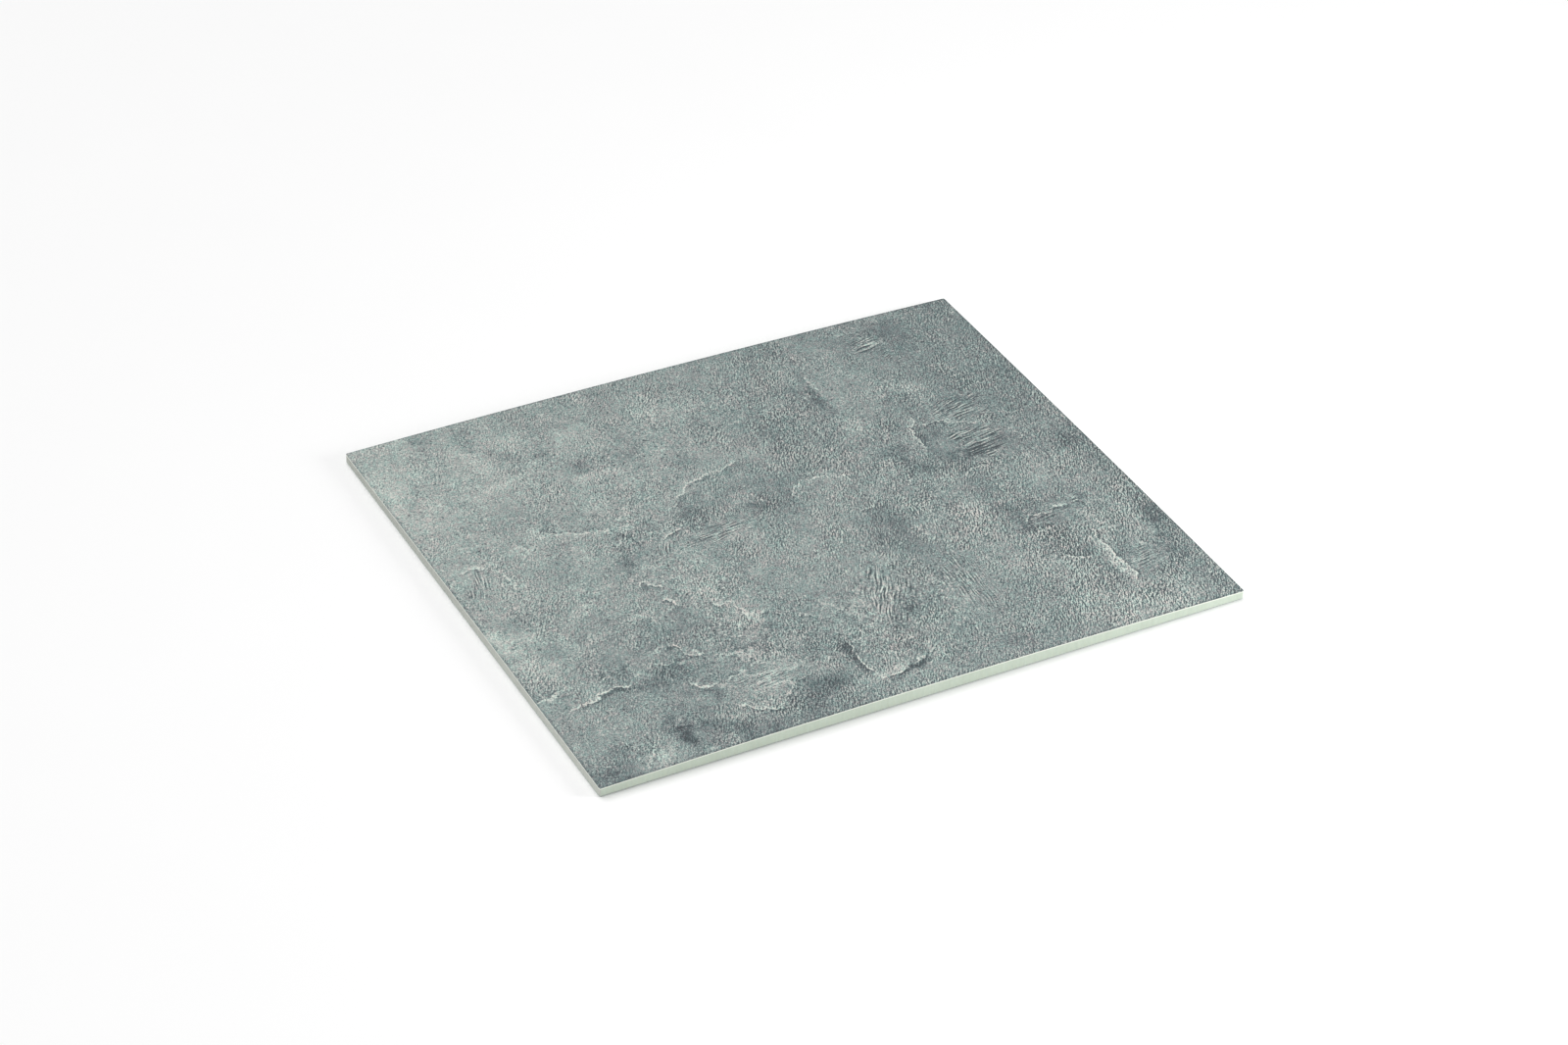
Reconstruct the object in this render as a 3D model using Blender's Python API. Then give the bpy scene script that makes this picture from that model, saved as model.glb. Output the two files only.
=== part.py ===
"""A thin rectangular stone slab, built up from four bonded layers.

From the bottom: a backing sheet, the pale core slab, a white base layer and the stone facing.
The slab lies on its flat underside, with its long side along X, its short side along Y and the
origin at the middle of the underside. Its top is crowned: thickest at the middle of the slab,
and thinnest at the four corners. The three layers above the core's flat bottom follow the crown.
All lengths are in metres.
"""

import bmesh
import bpy

# The whole slab
LENGTH = 0.300  # along X
WIDTH = 0.250  # along Y
CORNER_THICKNESS = 0.0043
CROWN_ALONG_X = 0.0016  # extra thickness at the middle of a long side
CROWN_ALONG_Y = 0.0006  # extra thickness at the middle of a short side
CORNER_RADIUS = 0.0006  # of the outline, seen from above
CORNER_SEGMENTS = 4

# The layers
BACKING_THICKNESS = 0.0004
BASE_THICKNESS = 0.0004
FACING_THICKNESS = 0.0006
BOND_GAP = 0.0003  # clearance between one layer and the next
FACING_CHAMFER = 0.00025  # along the facing's top arris
BACKING_CHAMFER = 0.00015  # along the backing's bottom arris

# The crown is drawn as flat cells, small enough that it stays within 0.02 mm of the curve.
CELLS_ALONG_X = 12
CELLS_ALONG_Y = 10

# Base colour (linear), roughness and metallic value of each layer
FINISHES = {
    "backing_sheet": ((0.50, 0.57, 0.51), 0.80, 0.0),
    "core_slab": ((0.58, 0.66, 0.55), 0.70, 0.0),
    "white_base_layer": ((0.83, 0.87, 0.79), 0.60, 0.0),
    "stone_facing": ((0.26, 0.31, 0.31), 0.60, 0.0),
}


def clear_scene():
    for old in list(bpy.data.objects):
        bpy.data.objects.remove(old)


def flat(height):
    """A level surface at one height."""
    return lambda x, y: height


def crowned(corner_height):
    """A crowned surface: corner_height at the slab's corners, and highest over its middle."""

    def height(x, y):
        along_x = 1.0 - (2.0 * x / LENGTH) ** 2
        along_y = 1.0 - (2.0 * y / WIDTH) ** 2
        return corner_height + CROWN_ALONG_X * along_x + CROWN_ALONG_Y * along_y

    return height


def is_corner(vertex):
    """True at the four corners of the outline."""
    at_end = abs(vertex.co.x) > 0.5 * LENGTH - CORNER_RADIUS
    at_side = abs(vertex.co.y) > 0.5 * WIDTH - CORNER_RADIUS
    return at_end and at_side


def finish_material(name):
    colour, roughness, metallic = FINISHES[name]
    material = bpy.data.materials.new(name)
    material.use_nodes = True
    shader = material.node_tree.nodes["Principled BSDF"]
    shader.inputs["Base Color"].default_value = (*colour, 1.0)
    shader.inputs["Roughness"].default_value = roughness
    shader.inputs["Metallic"].default_value = metallic
    return material


def rounded_block(bottom, top):
    """A closed block with the slab's outline, between two surfaces that give z at (x, y)."""
    block = bmesh.new()
    bmesh.ops.create_grid(block, x_segments=CELLS_ALONG_X, y_segments=CELLS_ALONG_Y, size=0.5)
    bmesh.ops.scale(block, vec=(LENGTH, WIDTH, 1.0), verts=block.verts)
    extruded = bmesh.ops.extrude_face_region(block, geom=block.faces[:], use_keep_orig=True)
    top_vertices = {v for v in extruded["geom"] if isinstance(v, bmesh.types.BMVert)}
    for vertex in block.verts:
        surface = top if vertex in top_vertices else bottom
        vertex.co.z = surface(vertex.co.x, vertex.co.y)
    uprights = [
        edge
        for edge in block.edges
        if is_corner(edge.verts[0])
        and is_corner(edge.verts[1])
        and (edge.verts[0] in top_vertices) != (edge.verts[1] in top_vertices)
    ]
    bmesh.ops.bevel(
        block,
        geom=uprights,
        offset=CORNER_RADIUS,
        offset_type="OFFSET",
        segments=CORNER_SEGMENTS,
        profile=0.5,
        affect="EDGES",
    )
    bmesh.ops.recalc_face_normals(block, faces=block.faces[:])
    return block


def arris_edges(block, upward):
    """The edges where the block's side wall meets its top, or its bottom if upward is False."""
    sign = 1.0 if upward else -1.0
    wall_limit = 0.5  # a wall's normal has almost no z, and a top's or bottom's is almost all z
    found = []
    for edge in block.edges:
        leans = [face.normal.z * sign for face in edge.link_faces]
        if min(abs(lean) for lean in leans) < wall_limit < max(leans):
            found.append(edge)
    return found


def add_layer(name, bottom, top, parent, chamfer=0.0, chamfer_up=True):
    """One layer of the slab as an object, with a chamfered top or bottom arris if it has one."""
    block = rounded_block(bottom, top)
    if chamfer:
        bmesh.ops.bevel(
            block,
            geom=arris_edges(block, chamfer_up),
            offset=chamfer,
            offset_type="OFFSET",
            segments=1,
            profile=0.5,
            affect="EDGES",
        )
    mesh = bpy.data.meshes.new(name)
    block.to_mesh(mesh)
    block.free()
    layer = bpy.data.objects.new(name, mesh)
    layer.data.materials.append(finish_material(name))
    layer.parent = parent
    bpy.context.scene.collection.objects.link(layer)
    return layer


def build_slab():
    slab = bpy.data.objects.new("slab", None)
    bpy.context.scene.collection.objects.link(slab)

    facing_bottom = CORNER_THICKNESS - FACING_THICKNESS
    base_top = facing_bottom - BOND_GAP
    base_bottom = base_top - BASE_THICKNESS
    core_top = base_bottom - BOND_GAP
    core_bottom = BACKING_THICKNESS + BOND_GAP

    add_layer(
        "backing_sheet",
        flat(0.0),
        flat(BACKING_THICKNESS),
        slab,
        chamfer=BACKING_CHAMFER,
        chamfer_up=False,
    )
    add_layer("core_slab", flat(core_bottom), crowned(core_top), slab)
    add_layer("white_base_layer", crowned(base_bottom), crowned(base_top), slab)
    add_layer(
        "stone_facing",
        crowned(facing_bottom),
        crowned(CORNER_THICKNESS),
        slab,
        chamfer=FACING_CHAMFER,
    )


clear_scene()
build_slab()
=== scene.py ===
"""Looks of the thin stone slab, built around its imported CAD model.

Four layers ride on the slab's one body, each standing for the CAD layer of its place: the embossed
stone facing, the white base layer, the pale green core and the woven backing. The stone's relief
and its placed marks (clouds and plates of tone, cleft edges, combed strokes, and rough or flaky
places) are worked out on the facing's own mesh, in millimetres over its face. Its material adds
the grain, the flakes and the pits between them.
"""

import math

import bpy
import numpy as np
from mathutils import Matrix, Vector


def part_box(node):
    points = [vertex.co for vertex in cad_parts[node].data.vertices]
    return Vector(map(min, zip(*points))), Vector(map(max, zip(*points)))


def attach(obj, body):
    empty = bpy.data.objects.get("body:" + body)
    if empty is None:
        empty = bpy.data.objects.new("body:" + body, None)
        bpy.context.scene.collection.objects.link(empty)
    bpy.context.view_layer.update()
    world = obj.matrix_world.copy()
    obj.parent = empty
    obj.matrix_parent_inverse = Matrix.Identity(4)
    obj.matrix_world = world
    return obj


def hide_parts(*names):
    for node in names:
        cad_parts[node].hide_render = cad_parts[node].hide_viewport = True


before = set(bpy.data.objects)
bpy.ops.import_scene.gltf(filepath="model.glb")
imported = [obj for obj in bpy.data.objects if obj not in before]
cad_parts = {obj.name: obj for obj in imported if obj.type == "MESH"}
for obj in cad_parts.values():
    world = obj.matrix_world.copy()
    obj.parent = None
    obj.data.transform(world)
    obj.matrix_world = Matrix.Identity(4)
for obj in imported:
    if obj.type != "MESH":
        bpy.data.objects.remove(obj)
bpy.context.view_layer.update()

MM = 0.001

# ---------------------------------------------------------------------------------- dimensions
_, facing_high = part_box("stone_facing")
core_low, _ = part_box("core_slab")
_, backing_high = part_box("backing_sheet")

HALF_X = facing_high.x / MM
HALF_Y = facing_high.y / MM
CROWN_ALONG_X = 1.6  # extra thickness at the middle of a long side
CROWN_ALONG_Y = 0.6  # extra thickness at the middle of a short side
CORNER_TOP = facing_high.z / MM - CROWN_ALONG_X - CROWN_ALONG_Y
CORNER_RADIUS = 0.6  # of the outline, seen from above

# Where one layer ends and the next begins, at the slab's corners. The layers touch here, halfway
# across the clearances that the CAD layers keep.
FACING_EDGE = 0.25  # height of the facing's own edge
BASE_EDGE = 0.5  # height of the white line under it
BASE_TOP = CORNER_TOP - FACING_EDGE
CORE_TOP = BASE_TOP - BASE_EDGE
BACKING_TOP = 0.5 * (backing_high.z + core_low.z) / MM
SEAT_WIDTH = 1.0  # past this margin the hidden joints lie lower, so that the relief clears them
SEAT_DEPTH = 0.8
CHAMFER = 0.2  # of the facing's arris
UNDER_CHAMFER = 0.15  # of the backing's lower arris

RELIEF_SET = 0.12  # how far the middle of the relief lies under the crown
SET_MARGIN = 10.0  # distance from the rim over which it sinks to that
RELIEF_MARGIN = 4.0  # distance from the rim over which the relief comes in
SWELL_HEIGHT = 0.07  # of the relief's broad swells
LUMP_HEIGHT = 0.04  # of the small lumps, where the grain is of middling coarseness

CELLS_X = 320  # of the facing's top
CELLS_Y = 270
COARSE = 10  # cells of the ring to one cell of a hidden face
SHARP_ANGLE = math.radians(40)  # edges that turn more than this are shaded as sharp


def crown(x, y):
    """Height over the slab's corners of its crowned layers, in mm."""
    return CROWN_ALONG_X * (1 - (x / HALF_X) ** 2) + CROWN_ALONG_Y * (1 - (y / HALF_Y) ** 2)


# --------------------------------------------------------------------------- noise and shapes
LATTICE = 256  # cells after which the noise repeats
OCTAVE_TURN = 0.6  # radians from one size of noise to the next


def value_noise(x, y, cell, seed):
    """Smooth noise from -1 to 1, with features about one cell across."""
    lattice = np.random.default_rng(seed).uniform(-1, 1, (LATTICE, LATTICE))
    gx, gy = x / cell + LATTICE / 2, y / cell + LATTICE / 2
    ix, iy = np.floor(gx).astype(int), np.floor(gy).astype(int)
    fx, fy = gx - ix, gy - iy
    fx, fy = fx * fx * (3 - 2 * fx), fy * fy * (3 - 2 * fy)
    ix0, iy0, ix1, iy1 = ix % LATTICE, iy % LATTICE, (ix + 1) % LATTICE, (iy + 1) % LATTICE
    near = lattice[ix0, iy0] * (1 - fx) + lattice[ix1, iy0] * fx
    far = lattice[ix0, iy1] * (1 - fx) + lattice[ix1, iy1] * fx
    return near * (1 - fy) + far * fy


def cloud_noise(x, y, cell, seed, octaves=4, keep=0.55):
    """Several sizes of noise on top of each other, each turned so that no grid shows."""
    total = np.zeros_like(x)
    weight = 1.0
    for octave in range(octaves):
        c, s = math.cos(OCTAVE_TURN * octave), math.sin(OCTAVE_TURN * octave)
        total += weight * value_noise(c * x - s * y, s * x + c * y, cell, seed + octave)
        cell *= 0.5
        weight *= keep
    return total


def turned(x, y, turn):
    """Position along and across a direction given in degrees."""
    c, s = math.cos(math.radians(turn)), math.sin(math.radians(turn))
    return c * x + s * y, c * y - s * x


def smooth_step(value, start, end):
    """Goes smoothly from 0 to 1 as value goes from start to end."""
    t = np.clip((value - start) / (end - start), 0, 1)
    return t * t * (3 - 2 * t)


def oval(x, y, centre_x, centre_y, radius_x, radius_y, turn=0.0):
    """Distance from the middle of an oval, as a share of its radius."""
    along, across = turned(x - centre_x, y - centre_y, turn)
    return np.hypot(along / radius_x, across / radius_y)


def spot(x, y, centre_x, centre_y, radius_x, radius_y, turn=0.0):
    """1 at the middle of an oval, fading smoothly away past its radii."""
    return np.exp(-oval(x, y, centre_x, centre_y, radius_x, radius_y, turn) ** 2)


def uneven(noise, middle, swing, low, high):
    """A factor that swings about its middle with a noise, kept between low and high."""
    return np.clip(middle + swing * noise, low, high)


def wash(x, y, even, along_x, along_y, to_corners):
    """An even value and how it changes from the face's middle towards its rim and its corners."""
    u, v = x / HALF_X, y / HALF_Y
    return even + along_x * u + along_y * v + to_corners * u * v


def path_distance(x, y, points):
    """Signed distance to a path, above 0 on its left, and how far along it the nearest point is."""
    best = np.full(x.shape, np.inf)
    side = np.ones(x.shape)
    along = np.zeros(x.shape)
    legs = len(points) - 1
    for i in range(legs):
        (ax, ay), (bx, by) = points[i], points[i + 1]
        dx, dy = bx - ax, by - ay
        t = np.clip(((x - ax) * dx + (y - ay) * dy) / (dx * dx + dy * dy), 0, 1)
        distance = np.hypot(x - ax - t * dx, y - ay - t * dy)
        closer = distance < best
        left = dx * (y - ay) - dy * (x - ax)
        best = np.where(closer, distance, best)
        side = np.where(closer, np.where(left >= 0, 1.0, -1.0), side)
        along = np.where(closer, (i + t) / legs, along)
    return best * side, along


# ------------------------------------------------------------------------- marks of the stone
# Clouds of tone: middle x, y, radii, turn in degrees, and how much lighter or darker they are, in
# steps of a 0 to 255 scale.
CLOUDS = (
    # back left quarter
    (-146, 85, 6, 12, 0, 9), (-135, 25.5, 8, 2, 0, 13), (-126, 8, 4, 4, 0, 11),
    (-117, 118, 4, 9, 0, -16), (-99, 117, 3.5, 8, 0, -19), (-105, 97, 12, 4, -65, 9),
    (-104, 72, 8, 4, 0, 15), (-85, 27, 15, 1.8, -16, 20), (-88, 76, 8, 4, 0, 8),
    (-97, 102, 3, 7, 30, -12), (-90, 93, 5, 3, 0, -12),
    (-90, 84, 3, 4, 0, -14), (-76, 86, 4, 2, 0, -19), (-86, 102, 9, 4, 0, 8),
    (-72, 100, 9, 2.5, 70, -10), (-63, 104, 9, 4, -10, -13), (-57, 95, 12, 7, 0, 8),
    (-63, 75, 10, 5, 8, -13), (-60, 62, 12, 3.5, 0, 12), (-66, 46, 10, 8, 0, 5), (-38, 68, 6, 4, 0, -9),
    (-35, 78, 4, 8, 0, -9), (-35, 95, 5, 10, 0, -9), (-48, 116, 4, 4, 0, -12), (-37, 121, 3, 5, 0, -14),
    (-110, 46, 12, 8, 0, -8), (-92, 36, 4, 3, 0, -13), (-75, 15, 6, 4, 0, -11), (-68, 12, 4, 5, 0, -15),
    (-77, 2, 3, 5, 0, -21), (-84, 5, 3, 4, 0, -13), (-70, 2, 4, 3, 0, -13), (-103, 5, 5, 9, 0, -7),
    (-28, 37, 12, 3, 35, 9), (-39, 16, 5, 7, 0, -15), (-8, 12, 6, 5, 0, -17), (-22, 53, 4, 5, 0, -12),
    (-20, 116, 8, 5, 0, -7), (-5, 110, 5, 3, 0, -13), (-5, 93, 9, 5, 0, 8),
    # back right quarter
    (54, 117, 4, 5, 0, -22), (54, 70, 3, 11, 0, -10), (22, 48, 4, 4, 0, -13), (58, 45, 8, 3, -50, 12),
    (20, 20, 9, 2, 0, 13), (34, 17, 6, 2, 0, 14), (66, 24, 4, 3, 0, -19), (64, 14, 2, 6, 0, -15),
    (72, 10, 5, 3, 0, -12), (78, 5, 6, 2, -15, -19), (78, 52, 6, 7, 0, -8), (115, 101, 6, 4, 0, -5),
    (110, 108, 4, 8, 0, -4), (145, 60, 5, 8, 0, -7), (110, 122, 10, 3, 0, 12),
    (100, 105, 4, 2.5, 30, 14), (92, 81, 3, 10, 0, 9), (98, 65, 4, 4, -30, 16), (99, 57, 5, 5, 0, 12),
    (90, 60, 3, 5, 0, -12), (110, 49, 3, 2, -20, -18), (114, 46.5, 3, 2, -20, -18),
    (84, 40, 7, 2.5, 75, 11), (112, 26, 3, 3, 0, 16), (88, 27, 2.5, 2.5, 0, -18),
    (84, 15, 3.5, 3, 0, -18), (94, 10, 6, 3, 0, -31), (103, 11, 6, 2, 10, -26),
    (112, 14, 3.5, 2, -45, -20), (143, 1, 4, 3, 0, -21),
    # front left quarter
    (-146, -21, 6, 6, 0, 12), (-138, -27, 9, 4, -10, 15), (-147, -32, 4, 4, 0, 14),
    (-144, -46, 6, 9, 0, 14), (-135, -50, 5, 8, 0, 10), (-136, -17, 4, 4, 0, -11),
    (-77, -3, 2.5, 5, -20, -15), (-58, -12, 8, 3, 15, 13), (-57, -20, 5, 6, 0, 10),
    (-55, -33, 4, 5, 0, 12), (-50, -43, 6, 2, -50, 20), (-46, -52, 5, 1.6, -65, 20),
    (-107, -63, 6, 10, 0, -11), (-88, -66, 3, 8, 0, -15), (-96, -75, 5, 3, 0, -15),
    (-84, -60, 8, 2, -65, 12), (-85, -87, 4, 2, -40, 17), (-82, -96, 2.5, 5, 10, -21),
    (-105, -111, 3, 8, 0, -28), (-97, -109, 5.5, 5, 0, -34), (-111, -101, 3, 2, 0, -21),
    (-99, -97, 2, 3, 0, -19), (-90, -115, 3, 3, 0, -22), (-82, -117, 4, 3, 0, -14),
    (-76, -123, 8, 2.5, 0, -14), (-103, -118, 5, 3, 0, -14), (-140, -119, 11, 6, 0, -21),
    (-133, -111, 6, 4, 0, -12), (-121, -119, 7, 4, 25, 22), (-114, -109, 4, 5, 0, 12),
    (-60, -98, 10, 3, -10, 13), (-66, -106, 9, 4, 0, 11), (-35, -95, 8, 6, 0, 12),
    (-36, -78, 2, 4, 0, 16), (-55, -88, 12, 6, 0, 7), (-47, -110, 6, 6, 0, -16),
    (-37, -109, 4, 3, 0, -22), (-42, -63, 3, 2, -30, -19), (-33, -81, 3, 5, 0, -17),
    (-22, -91, 2.5, 6, 0, -22), (-27, -90, 3, 5, 0, -12), (-15, -111, 12, 2.5, 5, 21),
    (-30, -5, 10, 6, 0, 6), (-8, -114.5, 4, 1.5, 35, -20),
    # front right quarter
    (37, -26, 5, 6, 0, -16), (13, -79, 6, 3, 40, -25), (1, -110.5, 7, 1.8, 20, -34),
    (48, -115, 12, 5, 0, -11), (61, -14, 4, 2.5, -45, -15), (22, -42, 5, 4, -30, 12),
    (35, -75, 4, 10, 0, 9), (70, -70, 7, 3, 10, 12), (73, -34, 3, 6, 0, 13), (76, -20, 2.5, 14, 0, 8),
    (84, -34, 6, 2, 0, -20), (90, -38, 3, 3, 0, -16), (89, -44, 2.5, 4, 0, -18),
    (91, -51, 4, 2, 0, -21), (100, -57, 10, 5, 60, -13), (98, -71, 3, 1.6, -30, -21),
    (103, -76.5, 2.2, 2.5, 0, -28), (107, -89, 3, 4, 0, -15), (104, -97, 4, 5, 0, -11),
    (100, -36, 6, 4, 0, -9), (121, -39, 3, 2.5, 20, -17), (147, -62, 4, 9, 0, -29),
    (146, -10, 4, 14, 0, -16), (140, -80, 5, 14, 0, -13), (119, -80, 5, 2.5, 60, -17),
    (130, -98, 4, 3, 0, -13), (140, -105, 3, 5, 0, -14), (115, -75, 7, 3.4, 75, 27),
    (113, -88, 8, 2.8, 85, 25), (112, -98, 5, 3, 70, 20), (118, -61, 4, 3.5, 0, 20),
    (133, -62, 8, 4, 70, 16), (95, -106, 8, 4, 0, 12), (104, -111, 5, 3, 0, 12),
    (112, -120, 15, 4, 0, 11), (140, -119, 6, 2, 0, 15), (147, -118, 3, 5, 0, -20),
    (112, -19, 5, 5, 0, 12), (120, -8, 8, 6, 0, 8),
)

# Plates of the stone that are lighter or darker as a whole: how much, the softness of the outline
# in mm, and the outline.
PLATES = (
    (-9, 3.0, ((-45, 22), (-38, 30), (-23, 33), (-16, 41), (0, 46), (11, 42), (13, 26), (7, 8), (0, 3),
               (-14, 10), (-34, 3), (-45, 12))),
    (-8, 2.5, ((20, 80), (30, 91), (57, 92), (58, 70), (53, 58), (50, 35), (40, 38), (28, 55), (20, 45))),
    (7, 1.5, ((62, 112), (70, 114), (80, 107), (88, 95), (88, 70), (80, 60), (70, 50), (70, 35), (60, 38),
              (51, 49), (55, 58), (58, 70), (58, 90), (61, 102))),
    (-10, 5.0, ((-120, -62), (-110, -45), (-95, -42), (-75, -35), (-65, -45), (-58, -55), (-72, -62),
                (-70, -80), (-85, -95), (-100, -85), (-112, -88), (-130, -82), (-122, -74))),
    (-12, 3.0, ((-85, -126), (-85, -113), (-60, -113), (-52, -103), (-45, -99), (-30, -102), (-25, -115),
                (-25, -126))),
    (-9, 4.0, ((15, -18), (33, -8), (42, -15), (43, -30), (50, -40), (45, -50), (38, -60), (25, -60),
               (23, -50), (30, -40), (22, -33))),
)

# Cleft edges: strength of their painted highlight and shade, step in mm, and a path with the raised side
# on its left.
CLEFTS = (
    # back left quarter
    (0.8, 0.16, ((-71, 18), (-74, 25), (-81, 26.5), (-89, 30), (-94, 32), (-102, 36))),
    (0.7, 0.10, ((-40, 25), (-37, 29), (-31, 36), (-24, 41.5), (-11, 43), (0, 46.5), (9, 50))),
    (0.7, 0.10, ((-141, 25.5), (-136, 25.5), (-131, 24))),
    (0.6, 0.10, ((-128, 16), (-125.5, 10), (-124, 3))),
    (1.0, 0.14, ((-54, 8.5), (-50, 10.5), (-45, 13))),
    # back right quarter
    (0.9, 0.14, ((78, 15), (80, 22), (81, 28), (82, 35), (84.5, 42), (88, 48))),
    (0.7, 0.10, ((86, 37), (94, 36.5), (102, 33), (112, 27))),
    (0.6, 0.10, ((115, 11), (106, 6), (98, 4), (91, 5.5))),
    (0.8, 0.12, ((98, -4), (95, -1.5), (90, -2.5), (84, -7))),
    (0.4, 0.08, ((62, 112), (61, 103), (58, 90), (58.5, 82), (57, 71))),
    (0.5, 0.08, ((43, 11), (36, 17), (31, 19), (17, 21.5), (10, 17), (10, 8))),
    (0.4, 0.06, ((4, 69), (10, 71.5), (17, 72))),
    (0.5, 0.08, ((137, 31), (131, 29), (126, 33))),
    # front left quarter
    (1.0, 0.20, ((-139, -77), (-133, -76.5), (-128, -75.5), (-124, -73.5), (-117, -73), (-113, -74.5),
                 (-107, -74))),
    (0.8, 0.12, ((-135, -62), (-144, -67), (-150, -69.5))),
    (0.9, 0.12, ((-74, -29), (-70.5, -32), (-68, -37))),
    (0.9, 0.14, ((-57, -39), (-50, -44.5), (-46, -56))),
    (0.8, 0.12, ((-44, -55), (-42, -53), (-38.5, -52.5), (-35, -56.5), (-34, -59))),
    (0.9, 0.12, ((-29, -61), (-25.5, -63.5), (-23, -66))),
    (0.8, 0.10, ((-85.5, -56), (-83, -62), (-81, -66.5), (-74, -71.5))),
    (0.7, 0.12, ((-89, -81), (-85.5, -86.5), (-79, -87.5))),
    (0.7, 0.10, ((-80, -17), (-74, -15.5), (-71.5, -21))),
    (0.9, 0.14, ((-81, -103), (-76, -103.5), (-70, -110.5), (-65, -112), (-59, -110), (-49, -99.5),
                 (-41, -96))),
    (1.0, 0.20, ((-19.5, -83), (-20.5, -96), (-20.5, -105), (-18, -112), (-12, -112.5), (0, -109),
                 (8, -107))),
    (0.4, 0.06, ((-21, -83), (-10, -82), (0, -79))),
    (0.6, 0.08, ((-130, -125), (-124, -116), (-119, -113))),
    # front right quarter
    (0.9, 0.14, ((89, -47), (95.5, -41), (103, -44), (109, -41.5), (115, -40.5))),
    (1.3, 0.18, ((110, -102), (114.5, -95), (113.5, -81), (112.5, -67), (115.5, -61))),
    (0.9, 0.14, ((106, -79.5), (99.5, -77.5), (94.5, -72.5), (89, -76.5))),
    (0.7, 0.08, ((30, -10), (37, -7), (41, -4))),
    (0.5, 0.06, ((19, -104), (24, -98), (30, -94.5))),
    (0.6, 0.08, ((128, -62.5), (131, -65.5), (134.5, -64))),
    (0.6, 0.08, ((127, -77), (129.5, -79.5), (129, -74))),
    (0.6, 0.08, ((117, -61), (122, -60), (122.5, -67))),
    (0.5, 0.10, ((24, -67), (27, -62), (30, -57))),
)

# Places where the trowel's strokes stand out: middle x, y, reach along and across the strokes,
# their direction in degrees, their spacing in mm, and their strength.
STROKE_PATCHES = (
    (109, 40, 14, 11, 16, 2.0, 1.1), (104, 17, 15, 12, 12, 2.0, 1.5),
    (96, 105, 8, 14, 16, 2.0, 1.0), (13, -66, 20, 12, 62, 1.8, 1.3),
    (47, -70, 21, 11, 86, 1.5, 0.8), (124, -88, 9, 6, 8, 1.6, 0.9),
    (-27, 4, 20, 6, 9, 1.8, 0.9), (-60, -94, 11, 7, 8, 1.7, 0.8),
    (102, -43, 17, 6, 12, 1.8, 0.9), (-137, 14, 10, 6, 75, 1.6, 0.8),
    (-57, 3, 7, 5, 70, 1.5, 0.9),
)

# Places where the stone's grain is rougher or smoother: middle x, y, radii, and how much.
ROUGH_PLACES = (
    (44, 95, 13, 10, 0.6), (33, 55, 17, 12, 0.5), (16, 40, 20, 20, 0.3), (30, 75, 14, 20, 0.3),
    (-57, -115, 28, 10, 0.6), (92, -58, 14, 14, 0.6), (120, 75, 5, 7, 0.6), (79, 46, 6, 7, 0.6),
    (24, -58, 12, 10, 0.4), (60, -30, 30, 16, 0.2), (120, -60, 16, 20, 0.3), (-112, 74, 9, 9, -0.3),
    (72, 100, 11, 13, -0.5), (87, 20, 6, 9, -1.2), (68, 72, 9, 18, -0.5), (-104, -104, 12, 16, -0.4),
    (120, 106, 14, 14, -0.3),
)

# Places where the skin of the stone breaks into thin flakes: middle x, y, radii, and how much.
FLAKY_PLACES = (
    (-72, -68, 62, 42, 0.7), (-112, 28, 34, 16, 0.35), (-8, -98, 36, 24, 0.4), (116, -72, 20, 34, 0.45),
    (94, 44, 18, 30, 0.25), (-40, 12, 24, 16, 0.25),
)

STROKE_TURN = 62.0  # the direction of the strokes everywhere else
STROKE_SPACING = 1.5
PATCH_STRETCH = 0.3  # a patch's distances along its strokes are cut to this, so that they run long
STROKE_STRENGTH = 0.5  # outside the patches, where the grain is of middling coarseness
PATCH_EDGE = 1.05  # share of a patch's reach at which its strokes end
PATCH_FULL = 0.5  # share of its reach up to which they are at full strength
PATCH_CLEAR = 1.3  # share of its reach from which the other strokes are at full strength
PATCH_FRAY = 0.45  # how ragged its outline is, as a share of its reach
STROKE_WOBBLE = 0.8  # how far the strokes wander, in mm
PATCH_WOBBLE = 1.2  # how many times as much they do so in the patches

# Tone and coarseness change over the face as a whole: the even part, and the change along X, along
# Y and to the corners. The tone's wash is lighter at the back left and darker at the back right. It
# is partly the stone's own tone and partly painted light: a broad painted sheen and painted shade.
PAINTED_LIGHT_AND_TONE_WASH = (2.3, -12.9, 3.0, -12.1)
GRIT_WASH = (0.95, 0.26, -0.12, -0.14)
GRIT_SWING = 0.3  # of the coarseness, from place to place
GRIT_RANGE = (0.25, 2.1)
ROUGH_STRENGTH = 0.5  # times what ROUGH_PLACES lists
FLAKY_EVERYWHERE = 0.22

MARK_WARP = 2.2  # how far the marks of tone are pushed about, in mm
CLOUD_STRENGTH = 1.25  # times the listed steps, to make up for the clouds' soft, patchy shapes
CLOUD_SPREAD = 1.35  # times the listed radii
SMEAR_STRENGTH = 4.2  # of the uneven tone between the clouds
SMEAR_STRETCH = 1.5  # how much longer than wide they are

CLEFT_REACH = 30.0  # beyond this distance a cleft edge has no effect
CLEFT_WARP = 1.3  # how far the edges are pushed about, in mm
CLEFT_END = 0.15  # share of an edge's length over which it fades out at each end
CLEFT_HEIGHT = 0.6  # share of the listed step that the mesh has
STEP_REACH = 0.7  # half the width of the step itself
RAISED_REACH = 4.0  # over which the raised side sinks back
GROOVE_PLACE = 1.2  # distance from the edge to the groove below it
GROOVE_REACH = 0.9  # half the groove's width
GROOVE_DEPTH = 0.5  # share of the step
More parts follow.
